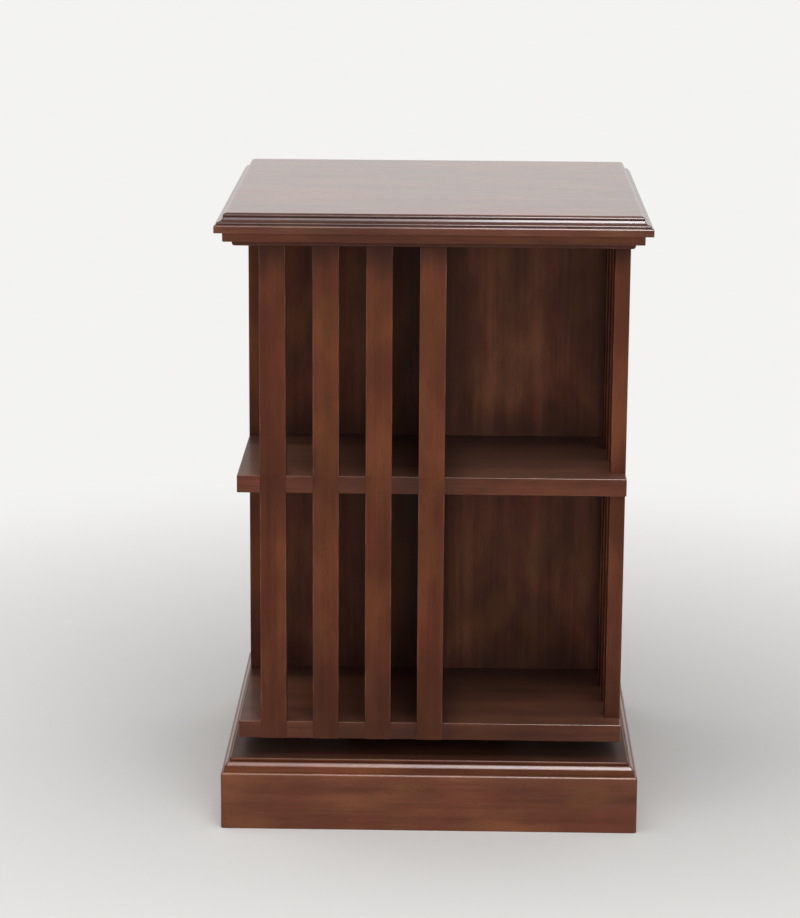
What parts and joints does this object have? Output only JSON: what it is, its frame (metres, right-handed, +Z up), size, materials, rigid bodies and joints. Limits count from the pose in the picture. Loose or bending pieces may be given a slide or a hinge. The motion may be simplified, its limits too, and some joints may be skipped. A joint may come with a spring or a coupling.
{
  "type": "rotating bookcase",
  "caption": "Square low bookcase with slatted sides, book compartments opening in turn on each face, and a moulded top, turning on a moulded plinth.",
  "frame": {"origin": "on the floor, in the middle of the plinth, under the turning axis", "axes": "+Z up along the turning axis, front face towards -Y, +X to the viewer's right"},
  "size_m": [0.5, 0.5, 0.7373],
  "materials": {
    "table_top": "dark mahogany stain, glossy lacquer",
    "cornice": "dark mahogany stain, satin lacquer",
    "slats": "mahogany stain, satin lacquer",
    "boards": "mahogany stain, satin lacquer",
    "partitions": "dark mahogany stain, satin lacquer",
    "plinth": "mahogany stain, satin lacquer",
    "bare_wood": "bare, sawn",
    "zinc_steel": "zinc plated",
    "bright_steel": "bright"
  },
  "bodies": {
    "base": {"plinth_front": "plinth", "plinth_right": "plinth", "plinth_back": "plinth", "plinth_left": "plinth", "plinth_block_1": "bare_wood", "plinth_block_2": "bare_wood", "plinth_block_3": "bare_wood", "plinth_block_4": "bare_wood", "base_board": "plinth", "bearing_block": "bare_wood", "bearing_lower_plate": "zinc_steel", "lower_plate_screw_1": "bright_steel", "lower_plate_screw_2": "bright_steel", "lower_plate_screw_3": "bright_steel", "lower_plate_screw_4": "bright_steel"},
    "ball_ring": {"ball_cage": "bright_steel"},
    "carcass": {"bearing_upper_plate": "zinc_steel", "upper_plate_screw_1": "bright_steel", "upper_plate_screw_2": "bright_steel", "upper_plate_screw_3": "bright_steel", "upper_plate_screw_4": "bright_steel", "bottom_board": "boards", "middle_shelf": "boards", "carcass_top": "boards", "lower_long_partition": "partitions", "lower_front_partition": "partitions", "lower_back_partition": "partitions", "upper_long_partition": "partitions", "upper_front_partition": "partitions", "upper_back_partition": "partitions", "slat_front_1": "slats", "slat_front_2": "slats", "slat_front_3": "slats", "slat_front_4": "slats", "slat_right_1": "slats", "slat_right_2": "slats", "slat_right_3": "slats", "slat_right_4": "slats", "slat_back_1": "slats", "slat_back_2": "slats", "slat_back_3": "slats", "slat_back_4": "slats", "slat_left_1": "slats", "slat_left_2": "slats", "slat_left_3": "slats", "slat_left_4": "slats", "cornice_front": "cornice", "cornice_right": "cornice", "cornice_back": "cornice", "cornice_left": "cornice", "table_top": "table_top"}
  },
  "joints": [
    {"name": "carcass_turn", "type": "hinge", "parent": "base", "child": "carcass", "pos_m": [0, 0, 0.102], "axis": [0, 0, 1], "continuous": true},
    {"name": "ball_ring_turn", "type": "hinge", "parent": "base", "child": "ball_ring", "pos_m": [0, 0, 0.102], "axis": [0, 0, 1], "continuous": true}
  ],
  "couplings": [
    {"joint": "ball_ring_turn", "follows": "carcass_turn", "ratio": 0.5}
  ]
}
